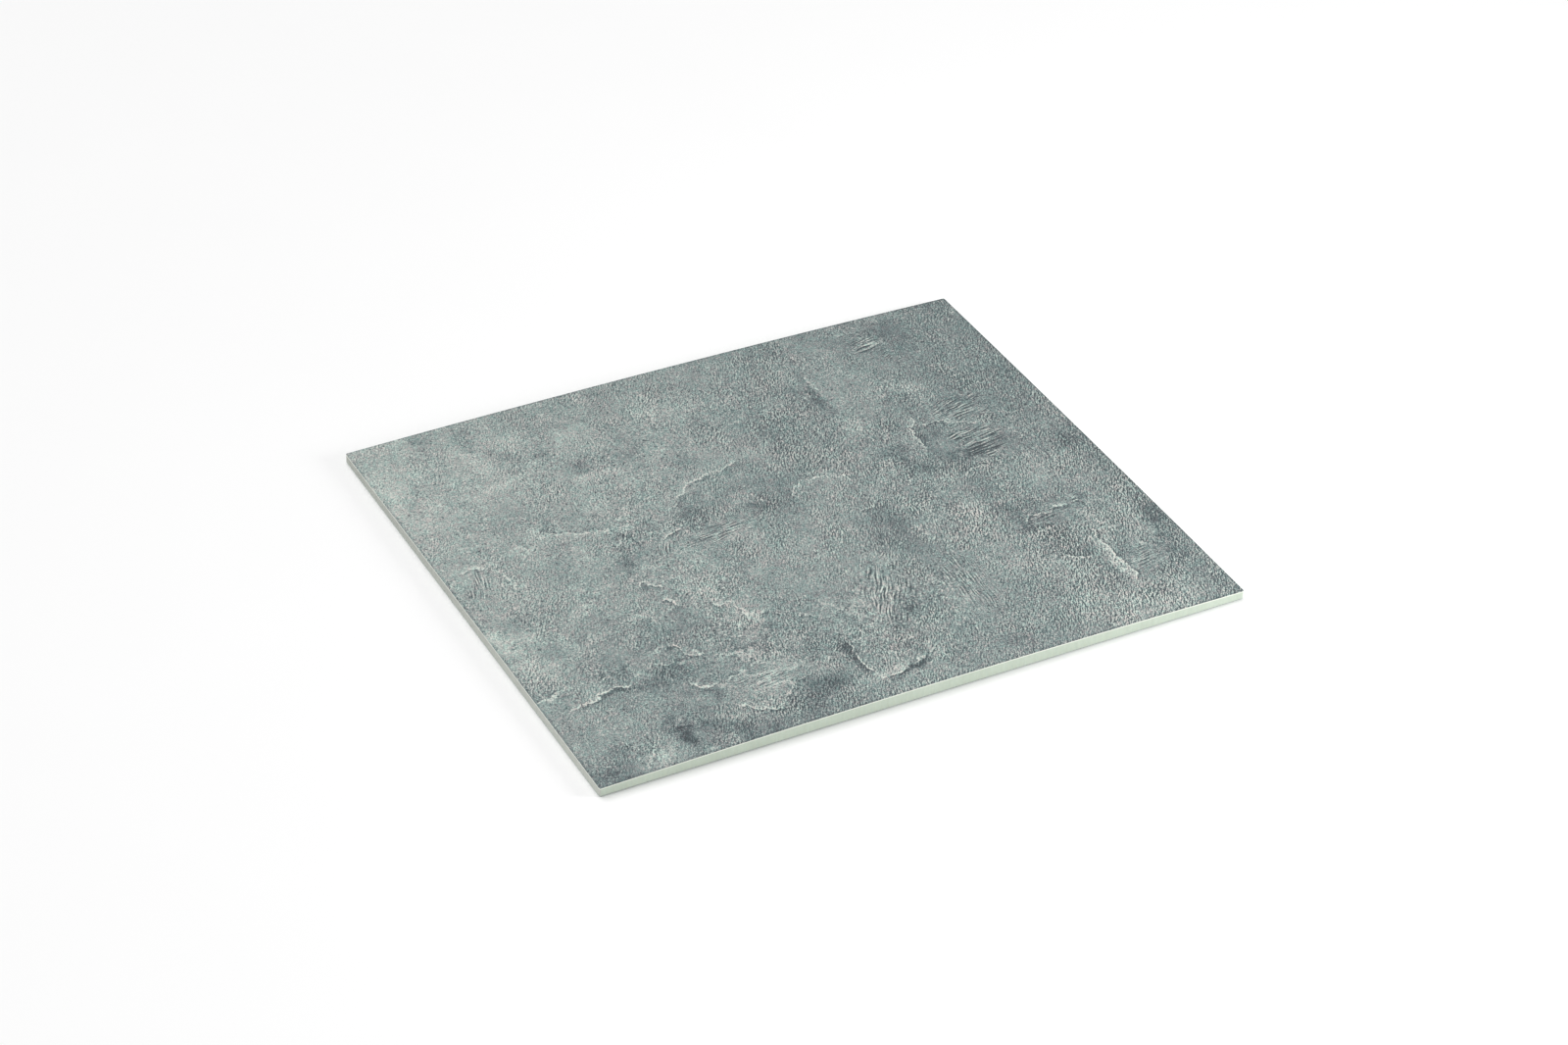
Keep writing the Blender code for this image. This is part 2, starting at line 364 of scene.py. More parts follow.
# Painted light on the raised side of an edge and painted shade below it, in steps of tone, and the
# distance over which they fade
RAISED_SIDE_PAINTED_LIGHT, RAISED_SIDE_PAINTED_LIGHT_REACH = 4.0, 5.0
LOWER_SIDE_PAINTED_SHADE, LOWER_SIDE_PAINTED_SHADE_REACH = -7.0, 4.0


def inside_plate(x, y, outline, soft):
    """1 inside a closed outline and 0 outside it, with a soft step between them."""
    distance = np.abs(path_distance(x, y, outline + outline[:1])[0])
    crossings = np.zeros(x.shape, int)
    for (ax, ay), (bx, by) in zip(outline, outline[1:] + outline[:1]):
        spans = (ay > y) != (by > y)
        crossings += spans & (x < ax + (bx - ax) * (y - ay) / (by - ay + 1e-9))
    return smooth_step(np.where(crossings % 2 == 1, distance, -distance), -soft, soft)


def smears(x, y):
    """Uneven tone from about -1 to 1, drawn out a little along the trowel's strokes."""
    along, across = turned(x, y, STROKE_TURN)
    return cloud_noise(along / SMEAR_STRETCH, across, cell=22, seed=35, keep=0.9)


def cloud_tone(x, y):
    """Lightness over the face, in steps of a 0 to 255 scale. Its wash is partly painted sheen and shade.
    """
    tone = wash(x, y, *PAINTED_LIGHT_AND_TONE_WASH)
    wx = x + MARK_WARP * cloud_noise(x, y, cell=12, seed=11, keep=0.7)
    wy = y + MARK_WARP * cloud_noise(x, y, cell=12, seed=21, keep=0.7)
    tone += SMEAR_STRENGTH * smears(wx, wy)
    mottle = cloud_noise(x, y, cell=7, seed=31, octaves=3, keep=0.8)
    patchy = uneven(mottle, middle=0.95, swing=0.55, low=0.1, high=1.9)
    for step, soft, outline in PLATES:
        tone += step * patchy * inside_plate(wx, wy, outline, soft)
    for cx, cy, rx, ry, turn, step in CLOUDS:
        shape = spot(wx, wy, cx, cy, CLOUD_SPREAD * rx, CLOUD_SPREAD * ry, turn)
        tone += CLOUD_STRENGTH * step * patchy * shape
    return tone


def cleft_fields(x, y):
    """For the cleft edges: signed distance to the nearest one, the strength of its painted highlight
    and shade there, the height that the edges add, and the painted light and shade beside them."""
    wx = x + CLEFT_WARP * cloud_noise(x, y, cell=7, seed=41, keep=0.8)
    wy = y + CLEFT_WARP * cloud_noise(x, y, cell=7, seed=51, keep=0.8)
    patchy = uneven(value_noise(wx, wy, cell=5, seed=61), middle=0.8, swing=0.8, low=0, high=1.4)
    nearest = np.full(x.shape, CLEFT_REACH)
    painted_light = np.zeros(x.shape)
    height = np.zeros(x.shape)
    shade = np.zeros(x.shape)
    for strength, step, points in CLEFTS:
        distance, along = path_distance(wx, wy, points)
        fade = smooth_step(along, 0.0, CLEFT_END) * smooth_step(along, 1.0, 1.0 - CLEFT_END)
        closer = np.abs(distance) < np.abs(nearest)
        nearest = np.where(closer, distance, nearest)
        painted_light = np.where(closer, strength * fade * patchy, painted_light)
        above, below = np.maximum(distance, 0), np.maximum(-distance, 0)
        raised = smooth_step(distance, -STEP_REACH, STEP_REACH) * np.exp(-above / RAISED_REACH)
        dug = -GROOVE_DEPTH * np.exp(-(((distance + GROOVE_PLACE) / GROOVE_REACH) ** 2))
        height += CLEFT_HEIGHT * step * fade * (raised + dug)
        # painted light on the raised side, painted shade below the edge
        upper = RAISED_SIDE_PAINTED_LIGHT * np.exp(-above / RAISED_SIDE_PAINTED_LIGHT_REACH)
        lower = LOWER_SIDE_PAINTED_SHADE * np.exp(-below / LOWER_SIDE_PAINTED_SHADE_REACH)
        shade += strength * fade * np.where(distance > 0, upper, lower)
    return nearest, painted_light, height, shade


def grit_field(x, y):
    """How coarse the stone's grain is: finest at the left, and coarsest at the front right."""
    grit = wash(x, y, *GRIT_WASH)
    grit += GRIT_SWING * cloud_noise(x, y, cell=14, seed=91, octaves=3, keep=0.8)
    for cx, cy, rx, ry, rougher in ROUGH_PLACES:
        grit += ROUGH_STRENGTH * rougher * spot(x, y, cx, cy, rx, ry)
    return np.clip(grit, *GRIT_RANGE)


def flaky_field(x, y):
    """How much the stone's skin breaks into thin flakes, from 0 to 1."""
    flaky = np.full(x.shape, FLAKY_EVERYWHERE)
    for cx, cy, rx, ry, more in FLAKY_PLACES:
        flaky += more * spot(x, y, cx, cy, rx, ry)
    return np.clip(flaky, 0.0, 1.0)


def stroke_fields(x, y):
    """Position along and across the trowel's strokes, in spacings, and how strong they are."""
    wobble = STROKE_WOBBLE * cloud_noise(x, y, cell=12, seed=71, octaves=2)
    along, across = turned(x, y, STROKE_TURN)
    along, across = along / STROKE_SPACING, (across + wobble) / STROKE_SPACING
    strength = STROKE_STRENGTH * grit_field(x, y) ** 2
    mottle = cloud_noise(x, y, cell=4, seed=75, octaves=2)
    patchy = uneven(mottle, middle=0.85, swing=0.6, low=0, high=1.5)
    fray = PATCH_FRAY * cloud_noise(x, y, cell=6, seed=81, octaves=3)
    for cx, cy, reach, width, turn, spacing, strong in STROKE_PATCHES:
        ragged = oval(x, y, cx, cy, reach, width, turn) + fray
        here = ragged < PATCH_EDGE
        patch_along, patch_across = turned(x - cx, y - cy, turn)
        along = np.where(here, PATCH_STRETCH * patch_along / spacing, along)
        across = np.where(here, (patch_across + PATCH_WOBBLE * wobble) / spacing, across)
        inside = strong * patchy * smooth_step(ragged, PATCH_EDGE, PATCH_FULL)
        outside = strength * smooth_step(ragged, PATCH_EDGE, PATCH_CLEAR)
        strength = np.where(here, inside, outside)
    return along, across, strength


def relief(x, y):
    """Height of the embossed surface over the crown, in mm. It is below it, and level at the rim."""
    swells = SWELL_HEIGHT * cloud_noise(x, y, cell=34, seed=101, octaves=3)
    lumps = LUMP_HEIGHT * grit_field(x, y) * cloud_noise(x, y, cell=6, seed=111, octaves=2, keep=0.6)
    cleft_height = cleft_fields(x, y)[2]
    margin = np.minimum(HALF_X - np.abs(x), HALF_Y - np.abs(y))
    raised = (swells + lumps + cleft_height) * smooth_step(margin, 0.0, RELIEF_MARGIN)
    return np.minimum(raised - RELIEF_SET * smooth_step(margin, 0.0, SET_MARGIN), 0.0)


def stone_attributes(x, y):
    """What the stone's material needs to know at each point of its mesh, by name."""
    nearest, painted_light, _, cleft_shade = cleft_fields(x, y)
    along, across, strength = stroke_fields(x, y)
    return {
        # the tone holds the painted light and shade beside the cleft edges, and the wash's painted sheen
        # and shade
        "tone": cloud_tone(x, y) + cleft_shade,
        "cleft_distance": nearest,
        "cleft_painted_light": painted_light,
        "stroke_along": along,
        "stroke_across": across,
        "stroke_strength": strength,
        "grit": grit_field(x, y),
        "flaky": flaky_field(x, y),
    }


# -------------------------------------------------------------------------------- layer meshes
def rounded(x, y, inset):
    """Points of a full rectangle, moved so that its corners are round."""
    radius = CORNER_RADIUS - inset
    flat_x, flat_y = HALF_X - CORNER_RADIUS, HALF_Y - CORNER_RADIUS
    over_x = np.maximum(np.abs(x) - flat_x, 0.0)
    over_y = np.maximum(np.abs(y) - flat_y, 0.0)
    reach = np.hypot(over_x, over_y)
    pull = np.maximum(over_x, over_y) / np.maximum(reach, 1e-9)
    near_x = np.minimum(np.abs(x), flat_x) + over_x * np.where(reach > 0, pull, 1.0)
    near_y = np.minimum(np.abs(y), flat_y) + over_y * np.where(reach > 0, pull, 1.0)
    near_x = np.minimum(near_x, flat_x + radius)
    near_y = np.minimum(near_y, flat_y + radius)
    return np.sign(x) * near_x, np.sign(y) * near_y


def grid_points(inset):
    """x and y, in mm, of every grid point of a face that is inset from the outline."""
    columns = np.linspace(-1, 1, CELLS_X + 1) * (HALF_X - inset)
    rows = np.linspace(-1, 1, CELLS_Y + 1) * (HALF_Y - inset)
    x, y = np.meshgrid(columns, rows, indexing="ij")
    return rounded(x, y, inset)


def rim():
    """Grid places of the rim, counterclockwise seen from above."""
    front = [(i, 0) for i in range(CELLS_X)]
    right = [(CELLS_X, j) for j in range(CELLS_Y)]
    back = [(i, CELLS_Y) for i in range(CELLS_X, 0, -1)]
    left = [(0, j) for j in range(CELLS_Y, 0, -1)]
    return front + right + back + left


RIM = rim()
RIM_PLACE = {place: n for n, place in enumerate(RIM)}


class LayerMesh:
    """Collects the points and faces of one closed layer."""

    def __init__(self):
        self.points = []
        self.faces = []

    def ring(self, inset, surface):
        """Adds the rim's points at one level, and returns the index of the first."""
        first = len(self.points)
        x, y = grid_points(inset)
        places = tuple(np.array(RIM).T)
        x, y = x[places], y[places]
        self.points += list(zip(x, y, surface(x, y)))
        return first

    def wall(self, upper, lower):
        """Joins two rings."""
        count = len(RIM)
        for n in range(count):
            following = (n + 1) % count
            self.faces.append((lower + n, lower + following, upper + following, upper + n))

    def cap(self, first, inset, surface, step, up):
        """Closes a ring with a grid of faces, step rim cells to a face."""
        x, y = grid_points(inset)
        inner = {}
        for i in range(step, CELLS_X, step):
            for j in range(step, CELLS_Y, step):
                inner[i, j] = len(self.points) + len(inner)
        places = tuple(np.array(list(inner)).T)
        x, y = x[places], y[places]
        self.points += list(zip(x, y, surface(x, y)))
        for i in range(0, CELLS_X, step):
            for j in range(0, CELLS_Y, step):
                face = self.cell(first, inner, i, j, step)
                self.faces.append(face if up else face[::-1])

    def cell(self, first, inner, i, j, step):
        """One grid face. A side that lies on the rim takes in all of the rim's points."""
        front = [(i + k, j) for k in range(step if j == 0 else 1)]
        right = [(i + step, j + k) for k in range(step if i + step == CELLS_X else 1)]
        back = [(i + step - k, j + step) for k in range(step if j + step == CELLS_Y else 1)]
        left = [(i, j + step - k) for k in range(step if i == 0 else 1)]
        places = front + right + back + left
        return [inner[p] if p in inner else first + RIM_PLACE[p] for p in places]

    def finish(self, name):
        """The layer as an object in the scene."""
        mesh = bpy.data.meshes.new(name)
        mesh.from_pydata(np.array(self.points) * MM, [], self.faces)
        mesh.shade_smooth()
        mesh.set_sharp_from_angle(angle=SHARP_ANGLE)
        layer = bpy.data.objects.new(name, mesh)
        bpy.context.scene.collection.objects.link(layer)
        return layer


def level(height):
    """A crowned surface that is at one height at the slab's corners."""
    return lambda x, y: height + crown(x, y)


def flat(height):
    """A level surface."""
    return lambda x, y: np.full(x.shape, height)


def plain_layer(name, rings):
    """A layer whose wall passes through rings, each an inset and a surface, from the top down."""
    layer = LayerMesh()
    firsts = [layer.ring(*ring) for ring in rings]
    for upper, lower in zip(firsts, firsts[1:]):
        layer.wall(upper, lower)
    layer.cap(firsts[0], *rings[0], COARSE, up=True)
    layer.cap(firsts[-1], *rings[-1], COARSE, up=False)
    return layer.finish(name)


def add_attribute(mesh, name, values):
    attribute = mesh.attributes.new(name, "FLOAT", "POINT")
    attribute.data.foreach_set("value", np.ascontiguousarray(values, np.float32))


def embossed_facing(name):
    """The stone facing, with its relief in the mesh and its marks as attributes."""

    def top(x, y):
        return CORNER_TOP + crown(x, y) + relief(x, y)

    layer = LayerMesh()
    upper = layer.ring(CHAMFER, top)
    shoulder = layer.ring(0.0, lambda x, y: top(x, y) - 0.5 * CHAMFER)
    lower = layer.ring(0.0, level(BASE_TOP))
    seat = layer.ring(SEAT_WIDTH, level(BASE_TOP - SEAT_DEPTH))
    layer.wall(upper, shoulder)
    layer.wall(shoulder, lower)
    layer.wall(lower, seat)
    layer.cap(upper, CHAMFER, top, 1, up=True)
    layer.cap(seat, SEAT_WIDTH, level(BASE_TOP - SEAT_DEPTH), COARSE, up=False)
    facing = layer.finish(name)
    x, y = np.array(layer.points)[:, :2].T
    for field, values in stone_attributes(x, y).items():
        add_attribute(facing.data, field, values)
    return facing


# ----------------------------------------------------------------------------------- materials
def linear(*levels):
    """A colour given on a 0 to 255 scale, as the linear values that a shader takes."""
    shares = [v / 255 for v in levels]
    return [s / 12.92 if s <= 0.04045 else ((s + 0.055) / 1.055) ** 2.4 for s in shares]


class Shader:
    """Short calls for adding and joining a material's nodes. Sizes are in mm."""

    def __init__(self, name):
        self.material = bpy.data.materials.new(name)
        self.material.use_nodes = True
        self.tree = self.material.node_tree
        self.surface = self.tree.nodes["Principled BSDF"]
        metres = self.node("ShaderNodeTexCoord").outputs["Object"]
        self.place = self.node(
            "ShaderNodeVectorMath", {0: metres, 1: (1 / MM, 1 / MM, 1 / MM)}, operation="MULTIPLY"
        ).outputs[0]

    def node(self, kind, inputs=None, **settings):
        made = self.tree.nodes.new(kind)
        for name, value in settings.items():
            setattr(made, name, value)
        for name, value in (inputs or {}).items():
            self.feed(made.inputs[name], value)
        return made

    def feed(self, socket, value):
        if isinstance(value, bpy.types.NodeSocket):
            self.tree.links.new(value, socket)
        else:
            socket.default_value = value

    def math(self, operation, *values):
        made = self.node("ShaderNodeMath", operation=operation)
        for socket, value in zip(made.inputs, values):
            self.feed(socket, value)
        return made.outputs[0]

    def add(self, *values):
        total = values[0]
        for value in values[1:]:
            total = self.math("ADD", total, value)
        return total

    def times(self, *values):
        total = values[0]
        for value in values[1:]:
            total = self.math("MULTIPLY", total, value)
        return total

    def attribute(self, name):
        return self.node("ShaderNodeAttribute", attribute_name=name).outputs["Fac"]

    def noise(self, size, detail=2.0, roughness=0.5, place=None, seed=0.0):
        """Noise from about -0.5 to 0.5 with features of one size."""
        made = self.node(
            "ShaderNodeTexNoise",
            {
                "Vector": place or self.place,
                "W": seed,
                "Scale": 1 / size,
                "Detail": detail,
                "Roughness": roughness,
            },
            noise_dimensions="4D",
        )
        return self.math("SUBTRACT", made.outputs["Fac"], 0.5)

    def moved(self, place, x=0.0, y=0.0):
        return self.node("ShaderNodeVectorMath", {0: place, 1: (x, y, 0)}, operation="ADD").outputs[0]

    def stretched(self, x, y, z):
        """The place in mm, with each axis multiplied."""
        inputs = {0: self.place, 1: (x, y, z)}
        return self.node("ShaderNodeVectorMath", inputs, operation="MULTIPLY").outputs[0]

    def axes(self):
        """The place in mm, as an output for each of X, Y and Z."""
        return self.node("ShaderNodeSeparateXYZ", {"Vector": self.place}).outputs

    def fade(self, value, start, end, low=0.0, high=1.0):
        """Goes smoothly from low to high as value goes from start to end."""
        made = self.node(
            "ShaderNodeMapRange",
            {"Value": value, "From Min": start, "From Max": end, "To Min": low, "To Max": high},
            interpolation_type="SMOOTHSTEP",
        )
        return made.outputs["Result"]

    def ramp(self, value, stops):
        made = self.node("ShaderNodeValToRGB", {"Fac": value})
        elements = made.color_ramp.elements
        while len(elements) < len(stops):
            elements.new(1.0)
        for element, (position, colour) in zip(elements, stops):
            element.position = position
            element.color = (*colour, 1.0)
        return made.outputs["Color"]

    def between(self, value, dark, light):
        """A colour between two that are given on a 0 to 255 scale."""
        return self.ramp(value, [(0.0, linear(*dark)), (1.0, linear(*light))])

    def bump(self, height):
        """Bump from a height in mm."""
        made = self.node("ShaderNodeBump", {"Height": height, "Distance": MM, "Strength": 1.0})
        self.feed(self.surface.inputs["Normal"], made.outputs[0])

    def set(self, **inputs):
        for name, value in inputs.items():
            self.feed(self.surface.inputs[name.replace("_", " ")], value)


# Tones of the stone from dark to light, as albedo: (position, colour on a 0 to 255 scale).
STONE_TONES = ((0.0, (56, 66, 69)), (0.3, (102, 114, 115)), (0.5, (134, 144, 141)),
               (0.7, (166, 174, 168)), (1.0, (218, 220, 209)))
TONE_RANGE = 150.0  # lightness steps from the first to the last of the tones
COOL_TINT, WARM_TINT = (0.82, 1.0, 1.0), (1.0, 0.88, 0.92)
# The grain's and the strokes' shading is painted into the stone's colour, as if lit from this side.
LIT_SHIFT = (-0.2, 0.22)  # mm towards the side that the grain's own shading is lit from
STROKE_SHIFT = 0.14  # the same, in stroke spacings
STROKE_STRETCH = 0.33  # distances along all strokes are cut to this in the material
FINE_EVEN, FINE_WITH_GRIT = 0.55, 0.45  # contrast of dust and specks: the even part, and with grit

# Lightness steps that each part of the grain and of the marks adds. The slope steps, and the crests,
# feet and rim further down, are painted light and shade.
DUST_TONE = 205.0
SPECK_TONE = 96.0
GRAIN_TONE = 13.0
# painted shading of the grain: lighter where it slopes towards the light, darker where it slopes away
GRAIN_PAINTED_SHADING = 64.0
STROKE_TONE = 18.0
# painted shading of the strokes: lighter on their sides towards the light, and darker still on those away
# from it
STROKE_PAINTED_SHADING = 85.0
STROKE_PAINTED_SHADE_LINES = -26.0
DRIFT_TONE = 60.0
# painted highlight along the flakes' crests and painted shade at their feet
FLAKE_CREST_PAINTED_HIGHLIGHT = 44.0
FLAKE_FOOT_PAINTED_SHADE = -18.0
FLAKE_SIDE_TONE = 12.0
CHIP_TONE = 36.0
PIT_TONE = -62.0
# painted highlight along the cleft edges' crests, and painted shade at their feet
CREST_PAINTED_HIGHLIGHT = 112.0
FOOT_PAINTED_SHADE = -36.0
# painted shade along the facing's arris, where its edge turns away from the light
RIM_PAINTED_SHADE = -20.0

# Bump, in mm.
SPECK_BUMP = 0.05
GRAIN_BUMP = 0.06
STROKE_BUMP = 0.05
CREST_BUMP = 0.08
FLAKE_CREST_BUMP = 0.032
FOOT_BUMP = -0.08

# Levels of a noise, which runs from about -0.5 to 0.5, between which a mark comes in.
STROKE_LEVELS = (-0.14, 0.14)
FLAKY_LEVELS = (-0.04, 0.1)
FLAKE_CREST = 0.018  # the level that a flake's crest follows
FLAKE_CREST_LEVELS = (0.034, 0.008)  # away from that level
FLAKE_FOOT_LEVELS = ((-0.09, -0.03), (0.0, -0.02))  # on its far and its near side
FLAKE_SIDE_LEVELS = (-0.015, 0.015)  # across its edge, from darker to lighter
FLAKE_SIDE_FADE = (0.16, 0.0)  # over which that dies away on both sides
CREST_GAP_LEVELS = (-0.3, 0.1)  # of the specks, which leave gaps in a cleft edge's crest
CHIP_LEVELS = (0.17, 0.3)
PIT_LEVELS = (-0.17, -0.3)

# Distances in mm between which a mark comes in. Below a cleft edge they are negative.
CREST_REACH = (0.75, 0.15)
FOOT_REACH = ((-3.2, -1.2), (-0.3, -0.9))  # on its far and its near side
RIM_REACH = (1.4, 0.5)

CLEFT_FRAY = 0.9  # how far the grain pushes the cleft edges about
SPECK_FRAY = 0.5  # how much the specks count beside the grain in that
FINE_CAST, PATCHY_CAST = 3.3, 1.2  # how strongly the tint varies, finely and in patches
STONE_ROUGHNESS, DRIFT_ROUGHNESS = 0.58, 0.25


def stone_grain(s):
    """Height of the stone's coarser grain, and its slope towards the light, which the material paints
    into the colour as shade and highlight.
    """

    def grain(x, y):
        return s.noise(1.5, detail=2.0, roughness=0.6, place=s.moved(s.place, x, y), seed=2.0)

    lit = grain(*LIT_SHIFT)
    shaded = grain(-LIT_SHIFT[0], -LIT_SHIFT[1])
    return s.add(lit, shaded), s.math("SUBTRACT", shaded, lit)


def stone_strokes(s, strength):
    """Height of the trowel's strokes, and their slope towards the light, which the material paints into
    the colour as shade and highlight.
    """
    along = s.times(s.attribute("stroke_along"), STROKE_STRETCH)
    across = s.attribute("stroke_across")
    place = s.node("ShaderNodeCombineXYZ", {"X": along, "Y": across}).outputs[0]

    def strokes(offset):
        ridges = s.noise(0.5, detail=1.0, place=s.moved(place, y=offset), seed=3.0)
        return s.fade(ridges, *STROKE_LEVELS)

    lit = strokes(STROKE_SHIFT)
    shaded = strokes(-STROKE_SHIFT)
    return s.times(s.add(lit, shaded), strength), s.times(s.math("SUBTRACT", shaded, lit), strength)


def stone_flakes(s):
    """Ragged lines of thin flakes: the painted highlight along their crests, the painted shade at their
    feet, and change of tone across them.
    """
    flake = s.noise(10.0, detail=4.0, roughness=0.55, seed=9.0)
    places = s.noise(14.0, detail=3.0, roughness=0.7, seed=10.0)
    flaky = s.times(s.attribute("flaky"), s.fade(places, *FLAKY_LEVELS))
    from_crest = s.math("ABSOLUTE", s.math("SUBTRACT", flake, FLAKE_CREST))
    crest = s.times(flaky, s.fade(from_crest, *FLAKE_CREST_LEVELS))
    far, near = FLAKE_FOOT_LEVELS
    foot = s.times(flaky, s.fade(flake, *far), s.fade(flake, *near))
    beside = s.fade(s.math("ABSOLUTE", flake), *FLAKE_SIDE_FADE)
    side = s.times(flaky, s.fade(flake, *FLAKE_SIDE_LEVELS, low=-0.5, high=0.5), beside)
    return crest, foot, side


def stone_clefts(s, grain_height, speck):
    """The painted highlight along the cleft edges' crests and the painted shade at the feet below them,
    both frayed by the grain.
    """
    fray = s.add(grain_height, s.times(speck, SPECK_FRAY))
    distance = s.add(s.attribute("cleft_distance"), s.times(fray, CLEFT_FRAY))
    painted_light = s.attribute("cleft_painted_light")
    from_edge = s.math("ABSOLUTE", distance)
    crest = s.times(painted_light, s.fade(from_edge, *CREST_REACH), s.fade(speck, *CREST_GAP_LEVELS))
    far, near = FOOT_REACH
    foot = s.times(painted_light, s.fade(distance, *far), s.fade(distance, *near))
    return crest, foot


def stone_rim(s):
    """1 along the facing's arris and 0 further in."""
    axes = s.axes()
    from_end = s.math("SUBTRACT", HALF_X, s.math("ABSOLUTE", axes["X"]))
    from_side = s.math("SUBTRACT", HALF_Y, s.math("ABSOLUTE", axes["Y"]))
    return s.fade(s.math("MINIMUM", from_end, from_side), *RIM_REACH)


def stone_colour(s, tone):
    """The stone's colour at a tone, tinted here and there between cool and warm."""
    share = s.add(s.math("DIVIDE", tone, TONE_RANGE), 0.5)
    colour = s.ramp(share, [(position, linear(*levels)) for position, levels in STONE_TONES])
    fine_cast = s.noise(1.4, detail=2.0, roughness=0.9, seed=6.0)
    patchy_cast = s.noise(12.0, detail=3.0, roughness=0.8, seed=7.0)
    hue = s.add(0.5, s.times(fine_cast, FINE_CAST), s.times(patchy_cast, PATCHY_CAST))
    tint = s.ramp(hue, [(0.0, COOL_TINT), (1.0, WARM_TINT)])
    mixed = {"Factor": 1.0, "A": colour, "B": tint}
    return s.node("ShaderNodeMix", mixed, data_type="RGBA", blend_type="MULTIPLY").outputs["Result"]


def stone_material():
    s = Shader("embossed_stone")
    grit = s.attribute("grit")
    strength = s.attribute("stroke_strength")
    fineness = s.add(FINE_EVEN, s.times(grit, FINE_WITH_GRIT))

    dust = s.noise(0.42, detail=0.0, seed=8.0)
    speck = s.noise(0.8, detail=1.0, seed=1.0)
    fleck = s.noise(1.1, detail=0.0, seed=13.0)
    drift = s.noise(10.0, detail=3.0, roughness=0.9, seed=5.0)
    grain_height, grain_slope = stone_grain(s)
    stroke_height, stroke_slope = stone_strokes(s, strength)
    flake_crest, flake_foot, flake_side = stone_flakes(s)
    crest, foot = stone_clefts(s, grain_height, speck)

    tone = s.add(
        # the stone's tone, with the wash's painted sheen and shade and the painted light and shade by the
        # cleft edges
        s.attribute("tone"),
        s.times(dust, fineness, DUST_TONE),
        s.times(speck, fineness, SPECK_TONE),
        s.times(grain_height, GRAIN_TONE),
        # painted shading of the grain
        s.times(grain_slope, grit, grit, GRAIN_PAINTED_SHADING),
        s.times(s.math("SUBTRACT", stroke_height, strength), STROKE_TONE),
        # painted shading of the strokes, darker than it is light
        s.times(stroke_slope, STROKE_PAINTED_SHADING),
        s.times(s.math("ABSOLUTE", stroke_slope), STROKE_PAINTED_SHADE_LINES),
        s.times(drift, DRIFT_TONE),
        # painted highlight and shade of the flakes
        s.times(flake_crest, FLAKE_CREST_PAINTED_HIGHLIGHT),
        s.times(flake_foot, FLAKE_FOOT_PAINTED_SHADE),
        s.times(flake_side, FLAKE_SIDE_TONE),
        s.times(s.fade(fleck, *CHIP_LEVELS), CHIP_TONE),
        s.times(s.fade(fleck, *PIT_LEVELS), PIT_TONE),
        # painted highlight and shade of the cleft edges
        s.times(crest, CREST_PAINTED_HIGHLIGHT),
        s.times(foot, FOOT_PAINTED_SHADE),
        # painted shade along the arris
        s.times(stone_rim(s), RIM_PAINTED_SHADE),
    )
    height = s.add(
        s.times(speck, grit, SPECK_BUMP),
        s.times(grain_height, grit, GRAIN_BUMP),
        s.times(stroke_height, STROKE_BUMP),
        s.times(crest, CREST_BUMP),
        s.times(flake_crest, FLAKE_CREST_BUMP),
        s.times(foot, FOOT_BUMP),
    )
    s.bump(height)
    roughness = s.add(STONE_ROUGHNESS, s.times(drift, DRIFT_ROUGHNESS))
    s.set(Base_Color=stone_colour(s, tone), Roughness=roughness)
    return s.material


# The other finishes' darkest and lightest colours, on a 0 to 255 scale.
CORE_GREEN = ((183, 195, 179), (214, 226, 211))
CORE_GREY = ((170, 174, 166), (211, 215, 207))
BASE_WHITE = ((226, 231, 218), (244, 247, 238))
BACKING_GREEN = ((168, 181, 172), (204, 214, 206))
FLOOR_SHADES = (0.95, 0.98)  # albedo
GREY_REACH = (0.9, 0.1)  # mm from the left side, between which the core's green turns to grey
GREY_TONES = (0.1, -0.3)  # change of the grey's tone, from the front to the back
THREAD = 1.6  # mm from one thread of the backing's weave to the next but one


def core_material():
    s = Shader("pale_green_core")
    cloudy = s.noise(9.0, detail=3.0, seed=5.0)
    speck = s.noise(0.6, detail=2.0, seed=6.0)
    streak = s.noise(1.2, detail=2.0, place=s.stretched(1.0, 1.0, 0.15), seed=7.0)
    tone = s.add(0.5, s.times(cloudy, 0.5), s.times(speck, 0.45), s.times(streak, 0.5))
    axes = s.axes()
    dulled = s.add(tone, s.fade(axes["Y"], -HALF_Y, HALF_Y, *GREY_TONES))
    left_side = s.fade(axes["X"], GREY_REACH[0] - HALF_X, GREY_REACH[1] - HALF_X)
    green = s.between(tone, *CORE_GREEN)
    grey = s.between(dulled, *CORE_GREY)
    colour = s.node("ShaderNodeMix", {"Factor": left_side, "A": green, "B": grey}, data_type="RGBA")
    s.bump(s.add(s.times(speck, 0.03), s.times(streak, 0.03)))
    s.set(Base_Color=colour.outputs["Result"], Roughness=s.add(0.6, s.times(cloudy, 0.2)))
    return s.material


def base_material():
    s = Shader("white_base")
    speck = s.noise(0.5, detail=2.0, seed=8.0)
    cloudy = s.noise(6.0, detail=2.0, seed=9.0)
    tone = s.add(0.5, s.times(cloudy, 0.6), s.times(speck, 0.6))
    s.bump(s.times(speck, 0.02))
    s.set(Base_Color=s.between(tone, *BASE_WHITE), Roughness=s.add(0.5, s.times(cloudy, 0.2)))
    return s.material


